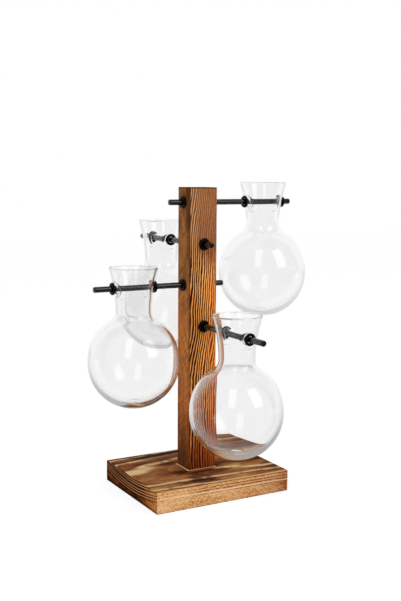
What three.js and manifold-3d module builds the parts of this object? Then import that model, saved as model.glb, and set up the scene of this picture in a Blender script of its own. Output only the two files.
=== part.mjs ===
// Four glass bulb vases hanging on black rods from a wooden post on a wooden base.
// Millimetres, +Z up. The origin is the centre of the base's underside, X runs along the base's long side.
// The arms are numbered from the top down: 1 points to +X, 2 to +Y, 3 to -X and 4 to -Y.

import * as THREE from 'three';
import { mergeVertices } from 'three/addons/utils/BufferGeometryUtils.js';
import Module from 'manifold-3d';

// Base
const baseLength = 131;
const baseWidth = 103;
const baseThickness = 19;
const baseEase = 0.6;

// Post
const postWidth = 26.5; // along X
const postDepth = 22.5; // along Y
const postEase = 0.5;

// Rods
const rodDiameter = 5;
const rodEase = 0.7;
const topRodDrop = 13; // from the post's top to the highest rod's axis
const rodPitch = 36; // from one rod's axis down to the next one's
const vaseToBase = 25.55; // clear height under the lowest vase
const rodFit = 0.3; // radial gap between rod and post

// Arms. Each upper bulb hangs just clear of the stub of the rod two steps below it
const rod3Stub = 12.5;
const rod4Stub = 16.5;
const stubToBulb = 2.5;
const arms = [
  { turn: 0, stub: 15, postToBulb: rod3Stub + stubToBulb, tail: 8.8 },
  { turn: 90, stub: 15, postToBulb: rod4Stub + stubToBulb, tail: 21.3 },
  { turn: 180, stub: rod3Stub, postToBulb: 9.25, tail: 17 },
  { turn: 270, stub: rod4Stub, postToBulb: 17.75, tail: 21 },
];

// Rubber rings
const ringSection = 2.6;
const ringFit = 0.25; // radial gap between ring and rod
const ringGap = 0.3; // between a ring and the face that it stops against

// Vase, from its underside up
const bulbRadius = 39.5;
const bulbFlatRadius = 8; // the small flat under the bulb
const crownExtra = 1.5; // how much higher the bulb's upper half is than a ball's
const crownPower = 2.15; // 2 gives an ellipse, more gives squarer shoulders
const shoulderBlend = 5.4; // how far outside the neck the shoulder's curve starts
const shoulderRun = 0.55; // share of the blend that keeps the crown's slope
const shoulderLift = 0.48; // share of the blend's height where the neck stands upright
const waistRise = 3.82; // the waist above the top that the crown would have
const holeRise = 19; // the holes above the waist
const mouthRise = 18.5; // the mouth above the holes
const waistRadius = 15.3;
const mouthRadius = 21.4;
const glassWall = 1.8;
const glassBottom = 2.2;
const holeFit = 1.25; // radial gap between rod and hole
const hangGap = 0.3; // between the rod's top and the top of the holes that hang on it
const lipRadius = 1.6; // of the fused bead round each hole
const lipTrim = 0.15; // how much of the bead the hole's bore cuts away
const lipShift = 0.15; // how far the bead sits outside the middle of the wall

// Wood screws from below
const screwCount = 2;
const screwInset = 5.25; // from the post's side to the nearest screw
const screwLength = 44;
const screwShankRadius = 2;
const screwHeadRadius = 4;
const screwHeadHeight = 2.4;
const screwRimHeight = 0.4;
const screwTipHeight = 4;
const screwSink = 0.5; // depth of the head's face above the underside
const screwFit = 0.3;
const driveWidth = 1.1;
const driveLength = 4.4;
const driveDepth = 1.6;

// Facets
const vaseSides = 28;
const rodSides = 16;
const ringSides = 14;
const ringSectionSides = 6;
const lipSides = 14;
const lipSectionSides = 6;
const screwSides = 12;
const cutterReach = 3; // length of a through cut, in widths of what it goes through

// Places worked out from the sizes
const rodRadius = rodDiameter / 2;
const ringRadius = rodRadius + ringFit + ringSection / 2;
const ringOuterRadius = ringRadius + ringSection / 2;
const bulbCentreHeight = Math.sqrt(bulbRadius ** 2 - bulbFlatRadius ** 2);
const crownRise = bulbRadius + crownExtra;
const waistHeight = bulbCentreHeight + crownRise + waistRise;
const holeHeight = waistHeight + holeRise;
const vaseHeight = holeHeight + mouthRise;
const holeRadius = rodRadius + holeFit;
const rodHeightInVase = holeHeight + holeFit - hangGap;
const lipPlane = neckRadiusAt(holeHeight) - glassWall / 2 + lipShift;
const neckAtRingTop = neckRadiusAt(rodHeightInVase + ringOuterRadius);
const ringOffset = Math.max(lipPlane + lipRadius, neckAtRingTop) + ringGap + ringSection / 2;
const lowestRodHeight = baseThickness + vaseToBase + rodHeightInVase;
const topRodHeight = lowestRodHeight + (arms.length - 1) * rodPitch;
const postHeight = topRodHeight + topRodDrop - baseThickness;
const screwSpacing = (postWidth - 2 * screwInset) / (screwCount - 1);

const glass = { color: 0xe9f0f1, roughness: 0.03, metalness: 0 };
const baseWood = { color: 0x7a4a2a, roughness: 0.6, metalness: 0 };
const postWood = { color: 0x9c5a2d, roughness: 0.55, metalness: 0 };
const blackMetal = { color: 0x121212, roughness: 0.35, metalness: 0.6 };
const rubber = { color: 0x0c0c0c, roughness: 0.6, metalness: 0 };
const zincSteel = { color: 0xb9bcc0, roughness: 0.35, metalness: 1 };

const wasm = await Module();
wasm.setup();

// A closed three.js geometry as a solid that can be joined and cut
function toSolid(geometry) {
  geometry.deleteAttribute('normal');
  geometry.deleteAttribute('uv');
  const merged = mergeVertices(geometry, 1e-4);
  const index = merged.index.array;
  const corners = [];
  for (let i = 0; i < index.length; i += 3) {
    const [a, b, c] = [index[i], index[i + 1], index[i + 2]];
    if (a !== b && b !== c && c !== a) corners.push(a, b, c);
  }
  return new wasm.Manifold(new wasm.Mesh({
    numProp: 3,
    vertProperties: new Float32Array(merged.attributes.position.array),
    triVerts: new Uint32Array(corners),
  }));
}

function toGeometry(solid) {
  const mesh = solid.getMesh();
  const geometry = new THREE.BufferGeometry();
  geometry.setAttribute('position', new THREE.BufferAttribute(mesh.vertProperties, 3));
  geometry.setIndex(new THREE.BufferAttribute(mesh.triVerts, 1));
  geometry.computeVertexNormals();
  return geometry;
}

function piece(name, geometry, finish) {
  const mesh = new THREE.Mesh(geometry, new THREE.MeshStandardMaterial(finish));
  mesh.name = name;
  return mesh;
}

// A profile of [radius, height] points turned about Z
function turned(profile, sides) {
  const points = profile.map(([radius, height]) => new THREE.Vector2(radius, height));
  return new THREE.LatheGeometry(points, sides).rotateX(Math.PI / 2);
}

// A cylinder along X that is centred on the origin
function crossBar(radius, length, sides) {
  return new THREE.CylinderGeometry(radius, radius, length, sides).rotateZ(Math.PI / 2);
}

// An upright block with all its edges eased, standing on Z = 0
function easedBlock(width, depth, height, ease) {
  const x = width / 2 - ease;
  const y = depth / 2 - ease;
  const outline = new THREE.Shape();
  outline.moveTo(x - ease, -y);
  outline.lineTo(x, -y + ease);
  outline.lineTo(x, y - ease);
  outline.lineTo(x - ease, y);
  outline.lineTo(-x + ease, y);
  outline.lineTo(-x, y - ease);
  outline.lineTo(-x, -y + ease);
  outline.lineTo(-x + ease, -y);
  outline.closePath();
  const bevel = { depth: height - 2 * ease, bevelThickness: ease, bevelSize: ease, bevelSegments: 1 };
  return new THREE.ExtrudeGeometry(outline, bevel).translate(0, 0, ease);
}

// Half the post along the arm's rod
function postHalf(arm) {
  return (arm.turn % 180 === 0 ? postWidth : postDepth) / 2;
}

function rodHeight(number) {
  return topRodHeight - (number - 1) * rodPitch;
}

// The neck flares from its waist to the mouth as a parabola
function neckRadiusAt(height) {
  const share = (height - waistHeight) / (vaseHeight - waistHeight);
  return waistRadius + (mouthRadius - waistRadius) * share ** 2;
}

// One side of the glass from the bowl up to the mouth, set in from the outside by inset
function glassSide(inset, bowlDepth, startAngle) {
  const radius = bulbRadius - inset;
  const crown = crownRise - inset;
  const waist = waistRadius - inset;
  const shoulder = waist + shoulderBlend;
  const side = [];

  const bowlSteps = 5;
  for (let i = 0; i < bowlSteps; i += 1) {
    const angle = startAngle * (1 - i / bowlSteps);
    side.push([radius * Math.cos(angle), bulbCentreHeight - bowlDepth * Math.sin(angle)]);
  }

  const crownSteps = 5;
  const crownEnd = Math.acos((shoulder / radius) ** (crownPower / 2));
  for (let i = 0; i <= crownSteps; i += 1) {
    const angle = crownEnd * i / crownSteps;
    const out = Math.cos(angle) ** (2 / crownPower);
    const up = Math.sin(angle) ** (2 / crownPower);
    side.push([radius * out, bulbCentreHeight + crown * up]);
  }

  // The shoulder's curve leaves the crown along its slope and meets the neck upright
  const [shoulderRadius, shoulderHeight] = side.at(-1);
  const out = shoulderRadius / radius;
  const up = (shoulderHeight - bulbCentreHeight) / crown;
  const slope = (crown / radius) * (out / up) ** (crownPower - 1);
  const run = shoulderRun * shoulderBlend;
  const uprightHeight = THREE.MathUtils.lerp(shoulderHeight, waistHeight, shoulderLift);
  const blend = new THREE.CubicBezierCurve(
    new THREE.Vector2(shoulderRadius, shoulderHeight),
    new THREE.Vector2(shoulderRadius - run, shoulderHeight + run * slope),
    new THREE.Vector2(waist, uprightHeight),
    new THREE.Vector2(waist, waistHeight),
  );
  const blendSteps = 3;
  blend.getPoints(blendSteps).slice(1).forEach((point) => side.push([point.x, point.y]));

  const neckSteps = 4;
  const neckTop = vaseHeight - glassWall / 2;
  for (let i = 1; i <= neckSteps; i += 1) {
    const height = THREE.MathUtils.lerp(waistHeight, neckTop, i / neckSteps);
    side.push([neckRadiusAt(height) - inset, height]);
  }
  return side;
}

// A blown bulb with two lipped holes through its neck along X, standing on Z = 0
function vaseGeometry() {
  const flatAngle = Math.acos(bulbFlatRadius / bulbRadius);
  const outside = glassSide(0, bulbRadius, flatAngle);
  const inside = glassSide(glassWall, bulbCentreHeight - glassBottom, Math.PI / 2).reverse();
  inside[inside.length - 1][0] = 0;
  const rim = [mouthRadius - glassWall / 2, vaseHeight];
  let solid = toSolid(turned([[0, 0], ...outside, rim, ...inside], vaseSides));

  const beadRadius = holeRadius + lipRadius - lipTrim;
  for (const side of [-1, 1]) {
    const bead = new THREE.TorusGeometry(beadRadius, lipRadius, lipSectionSides, lipSides)
      .rotateY(Math.PI / 2)
      .translate(side * lipPlane, 0, holeHeight);
    solid = solid.add(toSolid(bead));
  }
  const bore = crossBar(holeRadius, cutterReach * mouthRadius, lipSides).translate(0, 0, holeHeight);
  return toGeometry(solid.subtract(toSolid(bore)));
}

function rodGeometry(length) {
  const profile = [
    [0, 0],
    [rodRadius - rodEase, 0],
    [rodRadius, rodEase],
    [rodRadius, length - rodEase],
    [rodRadius - rodEase, length],
    [0, length],
  ];
  return turned(profile, rodSides).rotateY(Math.PI / 2);
}

function ringGeometry() {
  return new THREE.TorusGeometry(ringRadius, ringSection / 2, ringSectionSides, ringSides)
    .rotateY(Math.PI / 2);
}

// A countersunk screw pointing up from Z = 0, grown by fit all round where it is a cutter
function screwProfile(fit) {
  const shankStart = screwRimHeight + screwHeadHeight;
  return [
    [0, -fit],
    [screwHeadRadius + fit, -fit],
    [screwHeadRadius + fit, screwRimHeight],
    [screwShankRadius + fit, shankStart],
    [screwShankRadius + fit, screwLength - screwTipHeight],
    [0, screwLength + fit],
  ];
}

function screwGeometry() {
  let solid = toSolid(turned(screwProfile(0), screwSides));
  for (const turn of [0, Math.PI / 2]) {
    const slot = new THREE.BoxGeometry(driveLength, driveWidth, 2 * driveDepth).rotateZ(turn);
    solid = solid.subtract(toSolid(slot));
  }
  return toGeometry(solid);
}

function screwPlace(number) {
  return new THREE.Vector3((number - (screwCount + 1) / 2) * screwSpacing, 0, screwSink);
}

// What a screw cuts from the base and the post, with the way that its head goes in by
function screwCutter(number) {
  const place = screwPlace(number);
  const body = toSolid(turned(screwProfile(screwFit), screwSides));
  const entryRadius = screwHeadRadius + screwFit;
  const entry = new THREE.CylinderGeometry(entryRadius, entryRadius, cutterReach * screwSink, screwSides)
    .rotateX(Math.PI / 2);
  return body.add(toSolid(entry)).translate([place.x, place.y, place.z]);
}

function baseGeometry() {
  let solid = toSolid(easedBlock(baseLength, baseWidth, baseThickness, baseEase));
  for (let number = 1; number <= screwCount; number += 1) {
    solid = solid.subtract(screwCutter(number));
  }
  return toGeometry(solid);
}

// The post's own bottom is at its mesh's Z = 0
function postGeometry() {
  let solid = toSolid(easedBlock(postWidth, postDepth, postHeight, postEase));
  arms.forEach((arm, i) => {
    const bore = crossBar(rodRadius + rodFit, cutterReach * postWidth, rodSides)
      .rotateZ(THREE.MathUtils.degToRad(arm.turn))
      .translate(0, 0, rodHeight(i + 1) - baseThickness);
    solid = solid.subtract(toSolid(bore));
  });
  for (let number = 1; number <= screwCount; number += 1) {
    solid = solid.subtract(screwCutter(number).translate([0, 0, -baseThickness]));
  }
  return toGeometry(solid);
}

// A rod through the post with its vase and rings, pointing along its own +X
function buildArm(arm, number) {
  const group = new THREE.Group();
  const half = postHalf(arm);
  const vaseX = half + arm.postToBulb + bulbRadius;
  const rodStart = -half - arm.stub;
  const rodEnd = vaseX + ringOffset + arm.tail;

  const rod = piece(`rod_${number}`, rodGeometry(rodEnd - rodStart), blackMetal);
  rod.position.x = rodStart;
  group.add(rod);

  const vase = piece(`vase_${number}`, vaseGeometry(), glass);
  vase.position.set(vaseX, 0, -rodHeightInVase);
  group.add(vase);

  const ringPlaces = {
    [`rod_${number}_stub_ring`]: -half - ringGap - ringSection / 2,
    [`rod_${number}_post_ring`]: half + ringGap + ringSection / 2,
    [`vase_${number}_inner_ring`]: vaseX - ringOffset,
    [`vase_${number}_outer_ring`]: vaseX + ringOffset,
  };
  for (const [name, x] of Object.entries(ringPlaces)) {
    const ring = piece(name, ringGeometry(), rubber);
    ring.position.x = x;
    group.add(ring);
  }

  group.rotation.z = THREE.MathUtils.degToRad(arm.turn);
  group.position.z = rodHeight(number);
  return group;
}

const stand = new THREE.Group();

stand.add(piece('base', baseGeometry(), baseWood));

const post = piece('post', postGeometry(), postWood);
post.position.z = baseThickness;
stand.add(post);

for (let number = 1; number <= screwCount; number += 1) {
  const screw = piece(`base_screw_${number}`, screwGeometry(), zincSteel);
  screw.position.copy(screwPlace(number));
  stand.add(screw);
}

arms.forEach((arm, i) => stand.add(buildArm(arm, i + 1)));

export default stand;
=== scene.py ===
"""Four glass bulb vases on black rods round a wooden post: their finish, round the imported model."""

import math

import bmesh
import bpy
from mathutils import Matrix, Vector, noise


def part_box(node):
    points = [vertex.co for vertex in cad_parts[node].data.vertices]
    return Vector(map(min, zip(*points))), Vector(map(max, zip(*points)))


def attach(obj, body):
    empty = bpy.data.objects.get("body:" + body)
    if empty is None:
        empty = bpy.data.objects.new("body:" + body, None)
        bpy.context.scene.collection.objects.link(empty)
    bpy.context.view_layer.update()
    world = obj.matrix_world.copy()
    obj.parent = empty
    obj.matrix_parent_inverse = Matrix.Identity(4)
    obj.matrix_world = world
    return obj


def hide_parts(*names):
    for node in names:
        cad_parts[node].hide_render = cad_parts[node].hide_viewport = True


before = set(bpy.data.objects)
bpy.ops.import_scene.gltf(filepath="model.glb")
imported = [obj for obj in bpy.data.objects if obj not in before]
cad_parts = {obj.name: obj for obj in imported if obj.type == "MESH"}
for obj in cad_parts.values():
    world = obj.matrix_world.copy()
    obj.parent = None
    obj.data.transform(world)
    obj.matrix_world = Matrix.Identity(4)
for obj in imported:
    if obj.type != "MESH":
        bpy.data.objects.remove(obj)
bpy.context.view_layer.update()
scene = bpy.context.scene
MM = 0.001
WHITE = (1, 1, 1, 1)
ARMS = (1, 2, 3, 4)  # arm 1 points to +X, 2 to +Y, 3 to -X and 4 to -Y
BASE_SCREWS = ("base_screw_1", "base_screw_2")


# Node trees

def colour(code):
    """A colour written as six hex digits, as linear values."""
    parts = [int(code[i:i + 2], 16) / 255 for i in (0, 2, 4)]
    return [*(c / 12.92 if c <= 0.04045 else ((c + 0.055) / 1.055) ** 2.4 for c in parts), 1]


class Tree:
    """The node tree of a material or world, with short ways to add its nodes."""

    def __init__(self, owner):
        owner.use_nodes = True
        self.nodes = owner.node_tree.nodes
        self.links = owner.node_tree.links
        self.nodes.clear()

    def put(self, socket, value):
        if isinstance(value, bpy.types.NodeSocket):
            self.links.new(value, socket)
        else:
            socket.default_value = value

    def node(self, kind, *values, **settings):
        """A new node with these settings, and with these values on its first inputs."""
        node = self.nodes.new(f"ShaderNode{kind}")
        for name, setting in settings.items():
            setattr(node, name, setting)
        for socket, value in zip(node.inputs, values):
            self.put(socket, value)
        return node

    def out(self, kind, *values):
        """The first output of a new node."""
        return self.node(kind, *values).outputs[0]

    def math(self, operation, *values):
        return self.node("Math", *values, operation=operation).outputs[0]

    def vector(self, operation, *values):
        return self.node("VectorMath", *values, operation=operation).outputs

    def chain(self, operation, values):
        total = values[0]
        for value in values[1:]:
            total = self.math(operation, total, value)
        return total

    def add(self, *values):
        return self.chain("ADD", values)

    def times(self, *values):
        return self.chain("MULTIPLY", values)

    def most(self, *values):
        return self.chain("MAXIMUM", values)

    def one_plus(self, *values):
        """1 plus the product of the values."""
        return self.add(1, self.times(*values))

    def split(self, vector):
        return self.node("SeparateXYZ", vector).outputs[:]

    def span(self, value, low, high, start=0, end=1):
        """A smooth step from start to end as value goes from low to high."""
        node = self.node("MapRange", value, low, high, start, end, interpolation_type="SMOOTHSTEP")
        return node.outputs[0]

    def near(self, value, full, gone):
        """1 where value is within full of zero, and 0 from gone on."""
        return self.span(self.math("ABSOLUTE", value), full, gone, 1, 0)

    def seen(self):
        """1 for camera, mirrored and transmitted rays, and how often such a ray was mirrored."""
        ray = self.node("LightPath").outputs
        share = self.most(ray["Is Camera Ray"], ray["Is Glossy Ray"], ray["Is Transmission Ray"])
        return share, ray["Glossy Depth"]


class Finish(Tree):
    """A material of one Principled shader, whose coordinates are millimetres in the object's own frame."""

    def __init__(self, name):
        self.material = bpy.data.materials.new(name)
        super().__init__(self.material)
        self.principled = self.node("BsdfPrincipled")
        self.output = self.node("OutputMaterial", self.principled.outputs[0])
        coordinates = self.node("TexCoord").outputs
        self.place = self.stretched(coordinates["Object"], [1 / MM] * 3)
        self.facing = coordinates["Normal"]

    def set(self, name, value):
        self.put(self.principled.inputs[name], value)

    def stretched(self, vector, factors):
        return self.vector("MULTIPLY", vector, factors)["Vector"]

    def noise(self, cycles, seed, detail=2, roughness=0.5):
        """Noise from 0 to 1, with so many cycles a millimetre along X, Y and Z."""
        node = self.node("TexNoise", self.stretched(self.place, cycles), noise_dimensions="4D")
        for name, value in (("W", seed), ("Scale", 1), ("Detail", detail), ("Roughness", roughness)):
            self.put(node.inputs[name], value)
        return node.outputs[0]

    def about(self, value, amount):
        """Noise moved to lie about zero, times amount."""
        return self.times(self.add(value, -0.5), amount)

    def swing(self, cycles, seed, amount, detail=2):
        """Noise about zero, in millimetres or as a share."""
        return self.about(self.noise(cycles, seed, detail), amount)

    def spot(self, centre, sizes, edge=0.5):
        """A soft ellipsoid, 1 in its middle and 0 outside."""
        shifted = self.vector("SUBTRACT", self.place, centre)["Vector"]
        scaled = self.stretched(shifted, [1 / size for size in sizes])
        return self.span(self.vector("LENGTH", scaled)["Value"], edge, 1, 1, 0)

    def ramp(self, value, *stops):
        node = self.node("ValToRGB", value)
        elements = node.color_ramp.elements
        while len(elements) < len(stops):
            elements.new(1)
        for element, (place, code) in zip(elements, stops):
            element.position = place
            element.color = colour(code)
        return node.outputs[0]

    def mix(self, share, first, second):
        node = self.node("Mix", share, data_type="RGBA")
        self.put(node.inputs[6], first)
        self.put(node.inputs[7], second)
        return node.outputs[2]

    def shade(self, tint, amount):
        """tint made darker or lighter by a grey of that amount."""
        return self.stretched(tint, self.out("CombineXYZ", amount, amount, amount))

    def bump(self, height, strength, depth):
        """Relief whose full height is depth millimetres."""
        node = self.node("Bump", strength, depth * MM)
        self.put(node.inputs["Height"], height)
        self.set("Normal", node.outputs[0])


# Wood

BASE_LEFT, BASE_TOP = -65.5, 19
POST_RIGHT, POST_BACK = 13.25, 11.25
HEART = 236.7  # height of the log's heart above the foot of the base
# Growth rings of the base that show pale: height of each at the middle of the end at -X, and strength
PALE_RINGS = ((6.7, 1), (9.2, 0.8), (11.4, 0.7), (14.4, 0.85), (16.5, 0.85), (18.6, 0.95))
# Places on the top made darker or lighter: X, Y, reach along each, and change, less being darker
TOP_SPOTS = (
    # The first is a darker band in front of the post's foot
    (-1, -22, 25, 9, -0.17), (-24, -13, 8, 8, -0.08), (-21, 14, 14, 6, -0.14), (-35, -39, 45, 4, -0.03),
    (-20, 50, 80, 9, -0.1), (-14, -36, 17, 14, -0.11), (-55, -41, 26, 6, 0.2), (14, -45, 17, 8, 0.14),
    (-22, -2, 11, 8, 0.14), (20, -20, 8, 6, -0.14), (62, -26, 10, 7, -0.12), (-14, 23, 14, 7, -0.1),
    (-42, -21, 24, 8, -0.06), (0, -14, 18, 5, 0.15), (-20, -33, 8, 6, -0.11), (1, -41, 8, 5, 0.09),
    (26, -13, 16, 8, 0.2), (15, -42, 65, 7, 0.09), (-44, -15, 28, 20, 0.07), (45, -22, 30, 16, 0.16),
)
# The same on the end at -X: Y, Z, reach along each, and change
END_BURNS = (
    (43, 9, 5, 10, 0.06), (5, 4, 30, 5, -0.1), (-30, 4, 28, 5, 0.07), (46, 2, 12, 5, -0.14),
    (-47, 17, 10, 6, 0.16),
)


def base_wood():
    """Torched softwood cut flat: the growth rings curve like a smile and sink slowly towards +X."""
    wood = Finish("base_wood")
    x, y, z = wood.split(wood.place)
    right, _, top = wood.split(wood.facing)

    def on_top(middle_x, middle_y, reach_x, reach_y, edge=0.5):
        return wood.spot((middle_x, middle_y, BASE_TOP), (reach_x, reach_y, 12), edge)

    # The height at which a point's ring crosses the middle of the end at -X
    down = wood.add(z, -HEART)
    radius = wood.math("SQRT", wood.add(wood.times(y, y), wood.times(down, down)))
    ring = wood.add(
        wood.math("SUBTRACT", HEART, radius),
        wood.times(wood.add(x, -BASE_LEFT), wood.span(y, -25, 25, 0.014, 0.018)),
        wood.times(wood.span(x, -65, -20), wood.span(y, -8, -20), wood.span(y, -49, -40), -0.5),
        wood.times(wood.spot((12, -18, BASE_TOP), (30, 11, 14)), -0.35),
        wood.times(wood.spot((54, -24, BASE_TOP), (28, 12, 14)), 0.4),
        wood.swing((0.012, 0.02, 0.02), 3.1, 0.7, 1),
        wood.swing((0.035, 0.1, 0.1), 8.2, 0.45),
        wood.swing((0.12, 0.7, 0.7), 1.7, 0.25),
    )
    distances = [wood.add(ring, -height) for height, _ in PALE_RINGS]
    strengths = [strength for _, strength in PALE_RINGS]
    # The innermost ring only grazes the top, so it shows there in two places
    behind = wood.times(wood.span(y, 1, 7), wood.span(x, -58, -46))
    ahead = wood.times(wood.span(y, -3, -8), wood.span(x, 6, 16))
    strengths[-1] = wood.times(wood.most(behind, ahead), strengths[-1])
    worn = wood.times(wood.span(y, 0, 10), wood.span(x, -44, -24), wood.span(top, 0.45, 0.8))
    strengths[-2] = wood.times(wood.one_plus(worn, -0.6), strengths[-2])
    rings = list(zip(distances, strengths))
    lines = [wood.times(wood.near(distance, 0.16, 0.46), strength) for distance, strength in rings]
    pale = wood.most(*lines)
    shadow = wood.most(*(
        wood.times(wood.span(distance, -1.3, -0.4), wood.span(distance, -0.4, 0, 1, 0), strength)
        for distance, strength in rings))
    fibre = wood.noise((0.07, 1.1, 1.1), 4.4, 4, 0.75)
    grit = wood.noise((0.55, 0.8, 0.8), 2.3, 4, 0.75)
    speck = wood.noise((0.9, 1.8, 1.8), 5.3, 3, 0.7)

    # The flamed top, with a pale patch at -X and bare wood round the post's foot
    burn = wood.add(
        wood.noise((0.014, 0.06, 0.06), 6.6, 5, 0.62),
        wood.about(fibre, 0.45),
        wood.about(grit, 0.3),
        wood.times(shadow, -0.08),
        *(wood.times(on_top(*spot), change) for *spot, change in TOP_SPOTS),
        wood.span(y, -47, -50, 0, 0.16),
    )
    flamed = wood.ramp(
        burn, (0.26, "220e05"), (0.37, "4b220d"), (0.47, "78411e"), (0.57, "9c5f34"), (0.70, "c38f53"))
    patch = wood.most(on_top(-59, 6, 19, 9, 0.45), wood.times(on_top(-46, 12, 14, 10, 0.25), 0.8))
    patch = wood.times(patch, wood.span(wood.add(fibre, grit), 0.7, 1.05, 0.65, 1))
    broken = wood.span(wood.noise((0.09, 0.12, 0.12), 5.9, 2), 0.36, 0.5, 0.35, 1)
    gap = wood.one_plus(on_top(-17, -34, 7, 7), -0.7)
    light = wood.most(wood.times(pale, wood.span(burn, 0.3, 0.48, 0.6, 1), broken, gap), patch)
    flamed = wood.mix(light, flamed, colour("f2cc98"))
    outside = wood.most(
        wood.add(x, -POST_RIGHT),
        wood.add(wood.times(x, -0.6), -0.6 * POST_RIGHT),
        wood.add(wood.math("ABSOLUTE", y), -POST_BACK),
    )
    foot = wood.times(wood.span(outside, 0.6, 1.3, 1, 0), wood.span(grit, 0.3, 0.5, 0.6, 1))
    flamed = wood.mix(foot, flamed, colour("f2c795"))

    # The long sides, hardly burnt, browner towards +X and with a few saw strokes low on the right
    tone = wood.add(
        0.235,
        wood.times(wood.noise((0.025, 0.16, 0.16), 9.1, 3), 0.6),
        wood.times(x, -0.0008),
        wood.about(grit, 0.7),
        wood.about(speck, 1.9),
        wood.about(fibre, 0.9),
        wood.times(shadow, wood.span(x, -40, 35, -0.25, -0.95)),
        wood.span(x, 50, 64, 0, -0.2),
        # Painted shade along the bottom edge, where the board meets the floor
        wood.span(z, 0.2, 1.3, -0.5, 0),
        wood.times(wood.spot((-62, -51.5, 2.5), (14, 20, 4)), 0.12),
    )
    sides = wood.ramp(tone, (0.1, "7c380c"), (0.3, "bc7234"), (0.48, "e3a362"), (0.7, "ffd09a"))
    stroke = wood.noise((0.012, 0.08, 0.016), wood.times(wood.add(x, z), 0.75), 2, 0.6)
    low_right = wood.times(wood.span(z, 10, 8), wood.span(z, 0.2, 0.8), wood.span(x, -15, 5))
    stroke = wood.times(wood.span(stroke, 0.54, 0.64), low_right)
    sides = wood.mix(wood.times(stroke, 0.65), sides, colour("ffd39a"))
    upper = wood.times(wood.most(*lines[1:]), wood.span(x, -40, 50, 0.25, 0.75))
    sides = wood.mix(upper, sides, colour("ffcf92"))
    sides = wood.mix(wood.near(distances[0], 0.35, 0.7), sides, colour("ffe0b4"))
    corner = wood.times(wood.span(x, 20, 66, 0, 0.36), wood.span(y, -46, -50))
    sides = wood.mix(corner, sides, colour("9a4a28"))

    # The ends, dark because their pores take the flame in, and less so towards -Y
    depth = wood.add(
        wood.times(wood.noise((0.1, 0.08, 0.12), 7.3, 4, 0.6), 0.8),
        0.105,
        wood.about(grit, 0.7),
        wood.about(speck, 1.0),
        wood.span(y, -15, -50, 0, 0.24),
        # Darker towards the bottom edge
        wood.span(z, 0.8, 3.5, -0.2, 0),
        wood.span(y, 46, 50, 0, -0.15),
        wood.times(wood.span(z, 5, 14, 0, -0.11), wood.span(y, -42, -5)),
        *(wood.times(wood.spot((BASE_LEFT, middle_y, middle_z), (30, reach_y, reach_z)), change)
          for middle_y, middle_z, reach_y, reach_z, change in END_BURNS),
    )
    ends = wood.ramp(
        depth, (0.3, "240800"), (0.44, "4c1e03"), (0.58, "7c3a0b"), (0.72, "ae6425"), (0.9, "dc9450"))
    hollows = wood.most(*(
        wood.times(wood.span(distance, -1.9, -1.5), wood.span(distance, -0.75, -0.5, 1, 0))
        for distance in distances))
    ends = wood.mix(wood.times(hollows, wood.span(y, -20, -50, 0.8, 0.45)), ends, colour("260a00"))
    arcs = wood.most(*(wood.near(distance, 0.15, 0.55) for distance in distances))
    streak = wood.times(arcs, wood.span(y, 35, -45, 0.5, 0.95), wood.span(grit, 0.25, 0.45, 0.6, 1))
    ends = wood.mix(streak, ends, colour("eba76c"))

    is_top = wood.span(top, 0.45, 0.8)
    is_end = wood.span(wood.math("ABSOLUTE", right), 0.45, 0.8)
    wood.set("Base Color", wood.mix(is_end, wood.mix(is_top, sides, flamed), ends))
    wood.set("Roughness", wood.add(0.68, wood.times(fibre, 0.3)))
    wood.set("Specular IOR Level", 0.06)
    wood.bump(wood.add(wood.times(pale, 0.5), fibre, wood.times(grit, 0.5)), 0.6, 0.3)
    return wood.material


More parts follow.
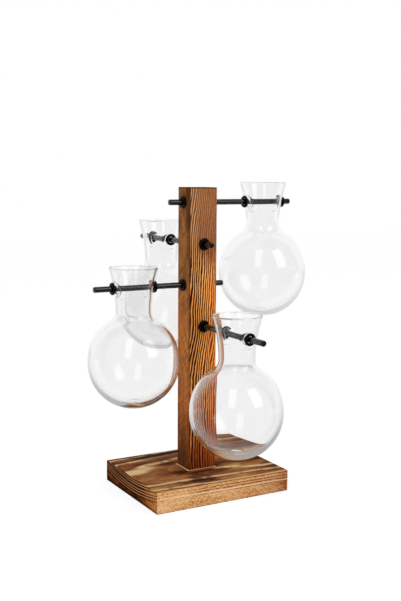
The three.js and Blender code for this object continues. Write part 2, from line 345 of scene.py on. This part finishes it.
def post_wood():
    """Torched and brushed softwood: rings cut nearly square by the faces at -Y and +Y."""
    wood = Finish("post_wood")
    x, y, z = wood.split(wood.place)
    right, _, top = wood.split(wood.facing)
    side = wood.span(right, -0.8, -0.5, 1, 0)  # the face at -X
    others = wood.span(right, -0.8, -0.5)
    flat = wood.span(wood.math("ABSOLUTE", right), 0.5, 0.8)  # the faces at -X and +X
    above_foot = wood.span(z, 30, 42)
    high_up = wood.span(z, 200, 215)

    # Rings run up the post and bend to +X in three places. They lie closer together towards +X
    bend = wood.add(wood.span(z, 104, 150, 0, 8), wood.span(z, 155, 205, 0, 3), wood.span(z, 222, 272, 0, 8))
    ring = wood.add(
        x,
        wood.times(wood.add(x, 13), wood.add(x, 13), 0.007),
        wood.times(y, 0.3),
        wood.times(bend, wood.span(x, -14, 14, -1, -0.6)),
        wood.swing((0.02, 0.02, 0.012), 2.4, 6, 1),
        wood.swing((0.07, 0.07, 0.045), 7.9, 3.5, 1),
        wood.swing((0.17, 0.17, 0.012), 3.3, 4, 1),
        wood.times(wood.swing((0.35, 0.35, 0.12), 5.1, 1.6), wood.span(top, 0.5, 0.8, 1, 0.3)),
    )
    ring_width = 2.9
    wave = wood.add(0.5, wood.times(wood.math("COSINE", wood.times(ring, 2 * math.pi / ring_width)), 0.5))
    crisp = wood.span(wave, 0.3, 0.82)
    fibre = wood.noise((1.1, 1.1, 0.06), 3.7, 4, 0.75)
    grit = wood.noise((0.9, 0.9, 0.55), 6.1, 4, 0.75)
    patches = wood.noise((0.06, 0.06, 0.018), 1.3, 3)
    slant = wood.noise((0.05, 0.05, 0.05), wood.times(wood.add(z, wood.times(y, 0.8)), 0.5), 3, 0.6)
    mottle = wood.noise((0.12, 0.12, 0.08), 4.7, 3, 0.6)

    # How clearly the rings show, and how burnt each place is
    contrast = wood.times(
        wood.most(wood.span(z, 185, 235, 1, 0.4), wood.span(x, -9, -2, 0.85, 0)),
        wood.most(wood.span(z, 35, 80, 0.45, 1), wood.times(wood.span(x, -9, -6, 0.8, 0), above_foot)),
        wood.span(x, -3, 8, 1, 0.45),
        wood.span(patches, 0.3, 0.5, 0.75, 1),
        wood.one_plus(flat, -0.92),
    )
    level = wood.add(
        0.5,
        wood.times(wood.about(crisp, contrast), 1.3),
        wood.about(fibre, wood.span(flat, 0, 1, 1.1, 0.5)),
        wood.about(patches, 0.35),
        wood.about(grit, 0.85),
        wood.times(wood.about(slant, wood.span(z, 205, 215, 0.8, 0.5)), flat),
        wood.times(wood.about(mottle, wood.span(z, 195, 215, 0.5, 1.1)), flat),
        wood.times(wood.span(x, 1, 9, 0, 0.1), wood.span(z, 215, 195), others, wood.span(flat, 0, 1, 1, -1)),
    )
    tint = wood.ramp(
        level, (0.0, "2c0800"), (0.26, "6c2a04"), (0.5, "a6591d"), (0.74, "d4873e"), (1.0, "f4ae66"))

    # Darker strips along both edges of the face at -X
    wavy_edge = wood.add(y, wood.swing((0.1, 0.1, 0.07), 6.4, 9))
    strip = wood.times(side, wood.most(
        wood.times(wood.span(wavy_edge, -7, -1, 1, 0), wood.span(z, 205, 240, 0, 0.85)),
        wood.times(wood.span(y, -9.8, -8.2, 1, 0), wood.span(z, 90, 120, 0, 0.85)),
        wood.times(wood.span(y, 8.2, 10.2), wood.span(z, 100, 85, 0, 0.6)),
    ))

    def reddened(low, high):
        """What is left of one channel: low at the foot, high from half way up, and 1 near the top."""
        kept = wood.most(
            wood.times(wood.span(z, 30, 110, low, high), wood.span(z, 168, 190, 1, 1 / high)),
            wood.times(side, 0.9),
            wood.times(wood.span(x, -10, -8, 0.75, 0), above_foot),
        )
        return wood.add(kept, wood.times(strip, wood.span(z, 200, 230), (low - 1) * 0.7))

    channels = [reddened(low, high) for low, high in ((1, 1.12), (0.62, 0.97), (0.4, 0.78))]
    tint = wood.stretched(tint, wood.out("CombineXYZ", *channels))
    tint = wood.mix(wood.times(side, wood.span(z, 60, 110, 0.1, 0.22)), tint, colour("d8a464"))
    tint = wood.mix(wood.times(others, wood.span(z, 190, 235, 0, 0.3)), tint, colour("b08068"))

    # Darker towards the foot, at the top's rim and in the strips. The rest goes up and down with height
    glow = wood.add(
        wood.times(wood.span(x, -11, 4, -0.2, 0.22), wood.one_plus(high_up, -1.4)),
        wood.times(wood.span(z, 160, 180), wood.one_plus(high_up, -1), 0.2),
        wood.times(wood.span(x, -10, -8, 0.5, 0), wood.span(z, 70, 50), above_foot),
    )
    fade = wood.add(
        wood.span(z, 40, 110, -0.1, 0.06),
        wood.span(z, 110, 138, 0, 0.14),
        wood.span(z, 148, 165, 0, -0.28),
        wood.span(z, 182, 196, 0, -0.2),
    )
    dim = wood.times(
        wood.span(z, 19, 85, 0.46, 1),
        wood.span(z, 267.4, 268.4, 1, 0.3),
        wood.one_plus(strip, -0.65),
        wood.one_plus(side, fade),
        wood.one_plus(others, glow, wood.span(flat, 0, 1, 1, 0.2)),
    )
    wood.set("Base Color", wood.shade(tint, dim))
    wood.set("Roughness", wood.add(0.62, wood.times(fibre, 0.3)))
    wood.set("Specular IOR Level", 0.08)
    relief = wood.add(wood.times(crisp, contrast), wood.times(fibre, 0.6), wood.times(grit, 0.2))
    wood.bump(relief, 0.7, 0.35)
    return wood.material


# Metal, rubber and glass

def black_metal():
    metal = Finish("black_metal")
    grain = metal.noise((1.2, 1.2, 1.2), 2.2, 3)
    metal.set("Base Color", metal.ramp(grain, (0.3, "020203"), (0.7, "070708")))
    metal.set("Specular IOR Level", 0.85)
    metal.set("Roughness", metal.add(0.1, metal.times(grain, 0.12)))
    metal.bump(metal.noise((3, 3, 3), 1.2, 2), 0.15, 0.05)
    return metal.material


def black_rubber():
    rubber = Finish("black_rubber")
    grain = rubber.noise((0.8, 0.8, 0.8), 4.1, 4)
    rubber.set("Base Color", rubber.ramp(grain, (0.3, "050506"), (0.75, "101011")))
    rubber.set("Specular IOR Level", 0.18)
    rubber.set("Roughness", rubber.add(0.36, rubber.times(grain, 0.3)))
    rubber.bump(rubber.noise((4, 4, 4), 3.3, 2), 0.25, 0.05)
    return rubber.material


def screw_steel():
    steel = Finish("screw_steel")
    grain = steel.noise((0.6, 0.6, 3), 6.4, 4)
    steel.set("Base Color", steel.ramp(grain, (0.3, "a9abad"), (0.7, "cdced0")))
    steel.set("Metallic", 1.0)
    steel.set("Roughness", steel.add(0.2, steel.times(grain, 0.25)))
    steel.bump(grain, 0.2, 0.05)
    return steel.material


def clear_glass():
    glass = Finish("clear_glass")
    glass.set("Base Color", WHITE)
    glass.set("Transmission Weight", 1.0)
    glass.set("IOR", 1.5)
    glass.set("Roughness", glass.span(glass.noise((0.4, 0.4, 0.4), 5.2, 2), 0.5, 0.8, 0, 0.02))
    glass.bump(glass.noise((0.05, 0.05, 0.03), 3.9, 1), 0.3, 0.6)
    glass.put(glass.output.inputs["Volume"], glass.out("VolumeAbsorption", (0.5, 0.56, 0.55, 1), 8))
    # Lamp light passes. Light that the wall would lead on inside it leaves after two reflections
    ray = glass.node("LightPath").outputs
    led_on = glass.span(ray["Glossy Depth"], 2, 3)
    passing = glass.most(ray["Is Shadow Ray"], ray["Is Diffuse Ray"], led_on)
    clear = glass.out("BsdfTransparent")
    both = glass.out("MixShader", passing, glass.principled.outputs[0], clear)
    glass.put(glass.output.inputs["Surface"], both)
    return glass.material


# Meshes, made in millimetres

def make_piece(name, vertices, faces, place=Matrix.Identity(4)):
    mesh = bpy.data.meshes.new(name)
    mesh.from_pydata([place @ Vector(v) * MM for v in vertices], [], faces)
    shape = bmesh.new()
    shape.from_mesh(mesh)
    bmesh.ops.recalc_face_normals(shape, faces=shape.faces)
    shape.to_mesh(mesh)
    shape.free()
    piece = bpy.data.objects.new(name, mesh)
    scene.collection.objects.link(piece)
    return piece


def turned(profile, sides):
    """A closed solid from a profile of (radius, height), turned about Z. It starts and ends on the axis.

    A radius may be a function of the turn, which goes from 0 to 1.
    """
    vertices, rows = [], []
    for radius, height in profile:
        count = 1 if radius == 0 else sides
        rows.append([len(vertices) + i for i in range(count)])
        for i in range(count):
            angle = 2 * math.pi * i / sides
            reach = radius(i / sides) if callable(radius) else radius
            vertices.append((reach * math.cos(angle), reach * math.sin(angle), height))
    faces = []
    for low, high in zip(rows, rows[1:]):
        for i in range(sides):
            j = (i + 1) % sides
            quad = [low[i % len(low)], low[j % len(low)], high[j % len(high)], high[i % len(high)]]
            faces.append(list(dict.fromkeys(quad)))
    return vertices, faces


def arc(centre, radius, start, end, steps):
    """Points on an arc, with its angles in degrees."""
    points = []
    for i in range(steps + 1):
        angle = math.radians(start + (end - start) * i / steps)
        points.append((centre[0] + radius * math.cos(angle), centre[1] + radius * math.sin(angle)))
    return points


def grid_lines(low, high, ease, cell):
    """Places of the grid lines on one side of a block, closer together where its edges are rounded."""
    rounds = [ease * (1 - math.cos(math.radians(a))) for a in (0, 30, 60, 90)]
    count = max(1, round((high - low - 2 * ease) / cell))
    inner = [low + ease + (high - low - 2 * ease) * i / count for i in range(1, count)]
    return [low + r for r in rounds] + inner + [high - r for r in reversed(rounds)]


def block(low, high, ease, cell, wear):
    """A block with rounded edges whose faces are a little uneven, as brushed wood is."""
    lines = [grid_lines(low[a], high[a], ease, cell) for a in range(3)]
    index, vertices, faces = {}, [], []

    def corner(key):
        if key not in index:
            point = Vector([lines[a][key[a]] for a in range(3)])
            core = Vector([min(max(point[a], low[a] + ease), high[a] - ease) for a in range(3)])
            out = (point - core).normalized()
            sharp = 1 - max(abs(c) for c in out)
            dent = noise.noise(core * 0.09) * 0.5 + noise.noise(core * 0.35) * 0.5
            depth = wear * (0.4 + 0.4 * dent) * (1 + 4 * sharp)
            index[key] = len(vertices)
            vertices.append(core + out * (ease - depth))
        return index[key]

    for a in range(3):
        b, c = (a + 1) % 3, (a + 2) % 3
        for end in (0, len(lines[a]) - 1):
            for i in range(len(lines[b]) - 1):
                for j in range(len(lines[c]) - 1):
                    quad = []
                    for di, dj in ((0, 0), (1, 0), (1, 1), (0, 1)):
                        key = [0, 0, 0]
                        key[a], key[b], key[c] = end, i + di, j + dj
                        quad.append(corner(tuple(key)))
                    faces.append(quad)
    return vertices, faces


def cut(piece, cutters):
    """Takes the cutters out of the piece and removes them."""
    for cutter in cutters:
        modifier = piece.modifiers.new("cut", "BOOLEAN")
        modifier.operation = "DIFFERENCE"
        modifier.solver = "EXACT"
        modifier.object = cutter
    graph = bpy.context.evaluated_depsgraph_get()
    mesh = bpy.data.meshes.new_from_object(piece.evaluated_get(graph))
    piece.modifiers.clear()
    piece.data = mesh
    for cutter in cutters:
        bpy.data.objects.remove(cutter)


def dress(piece, body, node, finish, sharp=40):
    """Gives a piece its finish and puts it on its body in place of its node."""
    piece.data.materials.clear()
    piece.data.materials.append(finish)
    piece.data.shade_smooth()
    piece.data.set_sharp_from_angle(angle=math.radians(sharp))
    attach(piece, body)
    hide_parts(node)


def box_mm(node):
    low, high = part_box(node)
    return low / MM, high / MM


def foot_of(node):
    """The place at the middle of a node's underside."""
    low, high = box_mm(node)
    centre = (low + high) / 2
    return Matrix.Translation((centre.x, centre.y, low.z))


def on_rod(arm):
    """The place on an arm's rod of a shape whose axis is Z, with that axis pointing outwards."""
    low, high = box_mm(f"rod_{arm}")
    turn = Matrix.Rotation(math.radians(90 * (arm - 1)), 4, "Z") @ Matrix.Rotation(math.radians(90), 4, "Y")
    return Matrix.Translation((0, 0, (low.z + high.z) / 2)) @ turn


def arm_ends(arm, node):
    """Where a node starts and ends along its arm."""
    low, high = box_mm(node)
    axis = (arm - 1) % 2
    return (low[axis], high[axis]) if arm < 3 else (-high[axis], -low[axis])


# Rods and rings

ROD_RADIUS = 2.5
ROD_FIT = 0.3  # round a rod in the post
RING_FIT = 0.25  # round a rod in a ring
RING_SECTION = 2.6


def make_rod(arm, finish):
    node = f"rod_{arm}"
    start, end = arm_ends(arm, node)
    ease, steps, sides = 0.9, 24, 40
    lower = arc((ROD_RADIUS - ease, start + ease), ease, -90, 0, 6)
    upper = arc((ROD_RADIUS - ease, end - ease), ease, 0, 90, 6)
    shank = [(ROD_RADIUS, start + ease + (end - start - 2 * ease) * i / steps) for i in range(1, steps)]
    vertices, faces = turned([(0, start), *lower, *shank, *upper, (0, end)], sides)
    dress(make_piece(f"{node}_bar", vertices, faces, on_rod(arm)), "stand", node, finish)


def make_ring(arm, node, body, finish):
    """A moulded ring with a flat bore, slightly flattened faces and a fine parting line."""
    start, end = arm_ends(arm, node)
    middle, half = (start + end) / 2, (end - start) / 2
    centre = ROD_RADIUS + RING_FIT + RING_SECTION / 2
    steps, sides, parting_depth = 28, 56, 0.06
    section = []
    for i in range(steps):
        angle = 2 * math.pi * i / steps
        c, s = math.cos(angle), math.sin(angle)
        out = RING_SECTION / 2 * math.copysign(abs(c) ** 0.9, c)
        if abs(s) < 0.05 and c > 0:
            out -= parting_depth
        section.append((centre + out, middle + half * math.copysign(abs(s) ** 0.85, s)))
    vertices, faces = [], []
    for i in range(sides):
        turn = 2 * math.pi * i / sides
        vertices += [(r * math.cos(turn), r * math.sin(turn), h) for r, h in section]
        j = (i + 1) % sides
        for k in range(steps):
            m = (k + 1) % steps
            faces.append((i * steps + k, j * steps + k, j * steps + m, i * steps + m))
    ring = make_piece(f"{node}_rubber", vertices, faces, on_rod(arm))
    dress(ring, body, node, finish)


# Screws, which point up from Z = 0

SCREW_LENGTH = 44
SCREW_FIT = 0.3
HEAD_RADIUS = 4
SHANK_RADIUS = 2


def screw_cutter(node):
    """The hole that a screw sits in, open downwards."""
    head, shank = HEAD_RADIUS + SCREW_FIT, SHANK_RADIUS + SCREW_FIT
    profile = [(0, -3), (head, -3), (head, 0.4), (shank, 2.8), (shank, 40), (0, SCREW_LENGTH + SCREW_FIT)]
    return make_piece("cutter", *turned(profile, 32), foot_of(node))


def thread(height):
    """The radius of a screw's shank at that height, as a function of the turn."""
    pitch, core = 1.8, 1.4
    thread_start, run_in, tip_length = 14, 1.5, 5
    taper = min(1, max(0.03, (SCREW_LENGTH - height) / tip_length))
    cover = min(1, max(0, (height - thread_start) / run_in))

    def radius(turn):
        phase = (height / pitch - turn) % 1
        ridge = max(0, 1 - abs(phase - 0.5) * 4)
        return taper * (core + (SHANK_RADIUS - core) * (ridge * cover + 0.55 * (1 - cover)))

    return radius


def make_screw(node, finish):
    """A countersunk screw with a helical thread and a cross recess."""
    head = [(0, 0), (3.6, 0), (3.95, 0.12), (HEAD_RADIUS, 0.3), (3.9, 0.5), (2.2, 2.7)]
    neck, step = 2.9, 0.15
    heights = [neck + step * i for i in range(int((SCREW_LENGTH - neck) / step))]
    shank = [(thread(height), height) for height in heights]
    place = foot_of(node)
    screw = make_piece(f"{node}_thread", *turned([*head, *shank, (0, SCREW_LENGTH)], 32), place)
    cutters = []
    for long_x, long_y in ((2.2, 0.5), (0.5, 2.2)):
        outline = [(-1, 1.0), (1.6, 0.45)]  # height, and share of the recess's size there
        points = [(sx * long_x * k, sy * long_y * k, h) for h, k in outline
                  for sx, sy in ((-1, -1), (1, -1), (1, 1), (-1, 1))]
        walls = [(i, (i + 1) % 4, (i + 1) % 4 + 4, i + 4) for i in range(4)]
        cutters.append(make_piece("cutter", points, [(3, 2, 1, 0), (4, 5, 6, 7), *walls], place))
    cut(screw, cutters)
    dress(screw, "stand", node, finish)


# Wooden base and post

WOOD_CELL = 2.5  # of the grid on their faces
WOOD_WEAR = 0.12


def make_base(finish):
    low, high = box_mm("base")
    base = make_piece("base_board", *block(low, high, 0.8, WOOD_CELL, WOOD_WEAR))
    cut(base, [screw_cutter(screw) for screw in BASE_SCREWS])
    dress(base, "stand", "base", finish)


def make_post(finish):
    low, high = box_mm("post")
    post = make_piece("post_bar", *block(low, high, 0.7, WOOD_CELL, WOOD_WEAR))
    cutters = [screw_cutter(screw) for screw in BASE_SCREWS]
    radius, reach = ROD_RADIUS + ROD_FIT, 40
    for arm in ARMS:
        bore = turned([(0, -reach), (radius, -reach), (radius, reach), (0, reach)], 40)
        cutters.append(make_piece("cutter", *bore, on_rod(arm)))
    cut(post, cutters)
    dress(post, "stand", "post", finish)


# Vases. A vase stands on Z = 0 with its holes along X

BULB_RADIUS = 39.5
FLAT_RADIUS = 8
BULB_CENTRE = math.sqrt(BULB_RADIUS ** 2 - FLAT_RADIUS ** 2)
CROWN = 41.0  # height of the bulb's upper half, were it not for the neck
CROWN_POWER = 2.15
SHOULDER = 5.4  # reach of the curve from the bulb into the neck
WAIST_RADIUS, MOUTH_RADIUS = 15.3, 21.4
WAIST = BULB_CENTRE + CROWN + 3.82
HOLE = WAIST + 19
MOUTH = HOLE + 18.5
WALL = 1.8
BOTTOM = 2.4
RIM_RADIUS = 1.02
SIDES = 128
WINDOW_COLUMNS = 10  # columns either side of a hole that its lip's patch takes the place of
WINDOW_ROWS = 14
WINDOW_REACH = 8.8
NECK_STEPS = 6  # of the neck below the patches, and above them
# Across the fused lip of a hole, from outside to inside: distance from the hole's axis, offset from mid-wall
LIP = (
    (7.5, 0.9), (7.0, 0.91), (6.5, 0.97), (6.0, 1.07), (5.5, 1.18), (5.0, 1.22), (4.5, 1.1), (4.1, 0.8),
    (3.85, 0.4), (3.76, -0.1), (3.85, -0.65), (4.1, -1.1), (4.5, -1.4), (5.0, -1.52), (5.5, -1.45),
    (6.0, -1.25), (6.5, -1.05), (7.0, -0.94), (7.5, -0.9),
)


def neck_radius(height):
    share = (height - WAIST) / (MOUTH - WAIST)
    return WAIST_RADIUS + (MOUTH_RADIUS - WAIST_RADIUS) * share ** 2


def body_side(inset, depth, start_angle):
    """The glass from the bowl's bottom up to the waist, set in from the outside by inset."""
    radius, crown, waist = BULB_RADIUS - inset, CROWN - inset, WAIST_RADIUS - inset
    bowl_steps, crown_steps, shoulder_steps = 30, 24, 10
    side = []
    for i in range(bowl_steps):
        angle = start_angle * (1 - i / bowl_steps)
        side.append((radius * math.cos(angle), BULB_CENTRE - depth * math.sin(angle)))
    crown_end = math.acos(((waist + SHOULDER) / radius) ** (CROWN_POWER / 2))
    for i in range(crown_steps + 1):
        angle = crown_end * i / crown_steps
        side.append((radius * math.cos(angle) ** (2 / CROWN_POWER),
                     BULB_CENTRE + crown * math.sin(angle) ** (2 / CROWN_POWER)))
    # From there a curve that leaves along the crown's slope and meets the neck upright
    out_end, high_end = side[-1]
    out, up = out_end / radius, (high_end - BULB_CENTRE) / crown
    slope = (crown / radius) * (out / up) ** (CROWN_POWER - 1)
    run = 0.55 * SHOULDER
    upright = high_end + (WAIST - high_end) * 0.48
    handles = ((out_end, high_end), (out_end - run, high_end + run * slope), (waist, upright), (waist, WAIST))
    for i in range(1, shoulder_steps + 1):
        t = i / shoulder_steps
        weights = ((1 - t) ** 3, 3 * t * (1 - t) ** 2, 3 * t * t * (1 - t), t ** 3)
        side.append(tuple(sum(w * h[k] for w, h in zip(weights, handles)) for k in (0, 1)))
    return side


def neck_heights():
    """Heights of the rows between waist and rim, some of them on the edges of the holes' patches."""
    low, high, top = HOLE - WINDOW_REACH, HOLE + WINDOW_REACH, MOUTH - 1.1
    heights = [WAIST + (low - WAIST) * i / NECK_STEPS for i in range(1, NECK_STEPS)]
    heights += [low + (high - low) * i / WINDOW_ROWS for i in range(WINDOW_ROWS + 1)]
    return heights + [high + (top - high) * i / NECK_STEPS for i in range(1, NECK_STEPS + 1)]


def vase_shape():
    flat = math.acos(FLAT_RADIUS / BULB_RADIUS)
    outside = [(0, 0.25), (3, 0.2), (6, 0.05), (7.2, 0)] + body_side(0, BULB_RADIUS, flat)[1:]
    inside = body_side(WALL, BULB_CENTRE - BOTTOM, math.pi / 2)[1:]
    heights = neck_heights()
    rim_centre = (neck_radius(heights[-1]) - WALL / 2, MOUTH - 1.05)
    profile = outside + [(neck_radius(h), h) for h in heights]
    first_outer = len(outside) + NECK_STEPS - 1
    profile += arc(rim_centre, RIM_RADIUS, -20, 200, 12)
    first_inner = len(profile) + NECK_STEPS
    profile += [(neck_radius(h) - WALL, h) for h in reversed(heights)]
    profile += list(reversed(inside)) + [(0, BOTTOM)]

    vertices, faces = turned(profile, SIDES)
    rows, seen = [], 0
    for radius, _ in profile:
        rows.append(seen)
        seen += 1 if radius == 0 else SIDES
    # Rows of a patch from the bottom up, outside and inside
    outer_rows = [rows[first_outer + i] for i in range(WINDOW_ROWS + 1)]
    inner_rows = [rows[first_inner - 1 + WINDOW_ROWS - i] for i in range(WINDOW_ROWS + 1)]
    hole_rows = set(outer_rows[:-1]) | set(inner_rows[1:])

    def in_window(face):
        low = min(face)
        for row in hole_rows:
            if row <= low < row + SIDES:
                columns = [(v - row) % SIDES for v in face]
                for middle in (0, SIDES // 2):
                    if all((c - middle + WINDOW_COLUMNS) % SIDES <= 2 * WINDOW_COLUMNS for c in columns):
                        return True
        return False

    faces = [face for face in faces if not in_window(face)]

    middle_radius = neck_radius(HOLE) - WALL / 2
    for middle in (0, SIDES // 2):
        loop = [(c, 0) for c in range(-WINDOW_COLUMNS, WINDOW_COLUMNS)]
        loop += [(WINDOW_COLUMNS, r) for r in range(WINDOW_ROWS)]
        loop += [(c, WINDOW_ROWS) for c in range(WINDOW_COLUMNS, -WINDOW_COLUMNS, -1)]
        loop += [(-WINDOW_COLUMNS, r) for r in range(WINDOW_ROWS, 0, -1)]
        spokes = []
        for column, row in loop:
            turn = 2 * math.pi * column / SIDES
            s, t = turn * middle_radius, WINDOW_REACH * (2 * row / WINDOW_ROWS - 1)
            reach = math.hypot(s, t)
            spoke = [outer_rows[row] + (middle + column) % SIDES]
            between = [(reach + (LIP[0][0] - reach) * k / 3, LIP[0][1]) for k in (1, 2)]
            back = [(reach + (LIP[-1][0] - reach) * k / 3, LIP[-1][1]) for k in (2, 1)]
            for distance, offset in (*between, *LIP, *back):
                height = HOLE + t * distance / reach
                angle = s * distance / reach / middle_radius + 2 * math.pi * middle / SIDES
                radius = neck_radius(height) - WALL / 2 + offset
                spoke.append(len(vertices))
                vertices.append((radius * math.cos(angle), radius * math.sin(angle), height))
            spoke.append(inner_rows[row] + (middle + column) % SIDES)
            spokes.append(spoke)
        for this, after in zip(spokes, spokes[1:] + spokes[:1]):
            faces += zip(this, after, after[1:], this[1:])
    return vertices, faces


def make_vases(finish):
    vertices, faces = vase_shape()
    for arm in ARMS:
        node = f"vase_{arm}"
        place = foot_of(node) @ Matrix.Rotation(math.radians(90 * (arm - 1)), 4, "Z")
        vase = make_piece(f"{node}_glass", vertices, faces, place)
        dress(vase, f"hanging_vase_{arm}", node, finish, 60)


# The studio: a white floor and surround, even light and two lamps

BACK = (0.49, 0.87, 0)  # direction in the world, away from the photograph's side


def make_camera():
    turn, pitch, roll = (math.radians(a) for a in (-29.406, 7.66, 0.394))
    forward = Vector((-math.sin(turn) * math.cos(pitch), math.cos(turn) * math.cos(pitch), -math.sin(pitch)))
    level = Vector((math.cos(turn), math.sin(turn), 0))
    upright = level.cross(forward)
    right = level * math.cos(roll) + upright * math.sin(roll)
    up = upright * math.cos(roll) - level * math.sin(roll)
    camera = bpy.data.objects.new("camera", bpy.data.cameras.new("camera"))
    camera.matrix_world = Matrix((right, up, -forward)).transposed().to_4x4()
    camera.location = (-0.401093, -0.718010, 0.279954)
    camera.data.sensor_width = 36
    camera.data.lens = 56.158
    camera.data.clip_start = 0.01
    scene.collection.objects.link(camera)
    scene.camera = camera


def make_world():
    world = bpy.data.worlds.new("studio")
    scene.world = world
    tree = Tree(world)
    direction = tree.node("TexCoord").outputs["Generated"]
    up = tree.split(direction)[2]
    behind = tree.vector("DOT_PRODUCT", direction, BACK)["Value"]
    seen, mirrored = tree.seen()
    # What is seen directly is all white. Surfaces mirror it so only at the back, and dimmer elsewhere
    strength = tree.most(
        tree.span(mirrored, 0, 1, 1, 0),
        tree.span(mirrored, 1, 2, 0, 0.3),
        tree.span(up, 0.02, 0.4, 0.15, 0.08),
        tree.span(behind, 0.05, 0.6, 0, 0.95),
    )
    light = tree.out("Background", WHITE, 0.6)
    backdrop = tree.out("Background", WHITE, strength)
    tree.node("OutputWorld", tree.out("MixShader", seen, light, backdrop))


def make_floor():
    reach = 3
    mesh = bpy.data.meshes.new("floor")
    corners = [(-reach, -reach, 0), (reach, -reach, 0), (reach, reach, 0), (-reach, reach, 0)]
    mesh.from_pydata(corners, [], [(0, 1, 2, 3)])
    floor = bpy.data.objects.new("floor", mesh)
    scene.collection.objects.link(floor)
    material = bpy.data.materials.new("floor_white")
    tree = Tree(material)
    seen, mirrored = tree.seen()
    behind = tree.vector("DOT_PRODUCT", tree.node("TexCoord").outputs["Object"], BACK)["Value"]
    strength = tree.most(tree.span(mirrored, 0, 1, 0.84, 0), tree.span(behind, -0.4, 0.4, 0.08, 0.75))
    glow = tree.out("Emission", WHITE, strength)
    soft = tree.out("BsdfDiffuse", tree.span(mirrored, 0, 1, 0.25, 0.07))
    plain = tree.out("BsdfDiffuse", (0.8, 0.8, 0.8, 1))
    tree.node("OutputMaterial", tree.out("MixShader", seen, plain, tree.out("AddShader", soft, glow)))
    mesh.materials.append(material)


def make_lamp(name, place, width, height, energy, target=(0, 0, 0.13)):
    data = bpy.data.lights.new(name, "AREA")
    data.shape = "RECTANGLE"
    data.size, data.size_y = width, height
    data.energy = energy
    lamp = bpy.data.objects.new(name, data)
    lamp.location = place
    lamp.rotation_euler = (Vector(target) - Vector(place)).to_track_quat("-Z", "Y").to_euler()
    scene.collection.objects.link(lamp)


make_camera()
make_world()
make_floor()
make_lamp("key", (0.7, -1.5, 1.2), 0.9, 1.5, 7.3)
make_lamp("fill", (-0.9, -1.0, 1.2), 0.5, 1.5, 3.1)

make_base(base_wood())
make_post(post_wood())
metal, rubber, steel = black_metal(), black_rubber(), screw_steel()
for screw in BASE_SCREWS:
    make_screw(screw, steel)
for arm in ARMS:
    make_rod(arm, metal)
    for node in (f"rod_{arm}_stub_ring", f"rod_{arm}_post_ring", f"vase_{arm}_inner_ring"):
        make_ring(arm, node, "stand", rubber)
    make_ring(arm, f"vase_{arm}_outer_ring", f"stopper_{arm}", rubber)
make_vases(clear_glass())

scene.view_settings.view_transform = "Standard"
